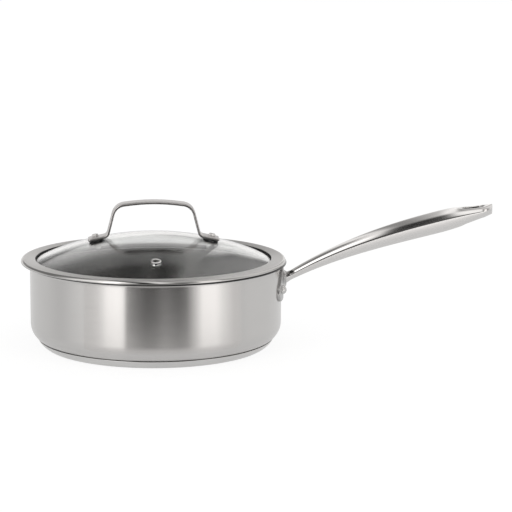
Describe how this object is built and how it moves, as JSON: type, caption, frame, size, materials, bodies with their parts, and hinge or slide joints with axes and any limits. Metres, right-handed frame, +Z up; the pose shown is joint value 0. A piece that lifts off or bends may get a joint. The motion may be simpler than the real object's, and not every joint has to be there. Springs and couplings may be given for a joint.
{
  "type": "saute pan with lid",
  "caption": "Steel saute pan with a thick base, a flared lip, a riveted long handle and a lift-off domed glass lid with a bent strap grip and a steam vent.",
  "frame": {"origin": "centre of the base's flat underside, where the pan stands on a stove or a table", "axes": "+Z up along the pan's axis, +X along the long handle"},
  "size_m": [0.4508, 0.254, 0.1387],
  "materials": {
    "wall_steel": "polished steel with fine circular brushing",
    "base_steel": "satin steel",
    "core_aluminium": "plain, sealed inside the base",
    "bracket_steel": "polished steel",
    "handle_steel": "polished crown over a satin underside",
    "rivet_steel": "polished steel",
    "ring_steel": "satin top with a polished rolled edge",
    "grip_steel": "polished steel",
    "screw_steel": "bright steel",
    "vent_steel": "polished steel",
    "lid_glass": "clear tempered glass",
    "black_silicone": "matt black silicone",
    "sleeve_plastic": "black moulded plastic"
  },
  "bodies": {
    "pan": {"pan_vessel": "wall_steel", "base_core": "core_aluminium", "base_cap": "base_steel", "handle_bracket": "bracket_steel", "handle": "handle_steel", "handle_rivets": "rivet_steel"},
    "lid": {"lid_glass": "lid_glass", "lid_ring": "ring_steel", "lid_seal": "black_silicone", "lid_grip": "grip_steel", "grip_screws": "screw_steel", "grip_pads": "black_silicone", "hole_sleeves": "sleeve_plastic", "inner_gaskets": "black_silicone", "inner_washers": "screw_steel", "cap_nuts": "screw_steel", "vent_eyelet": "vent_steel", "vent_gasket": "black_silicone"}
  },
  "joints": [
    {"name": "lid_lift", "type": "slide", "parent": "pan", "child": "lid", "axis": [0, 0, 1], "range_m": [0, 0.12]}
  ]
}
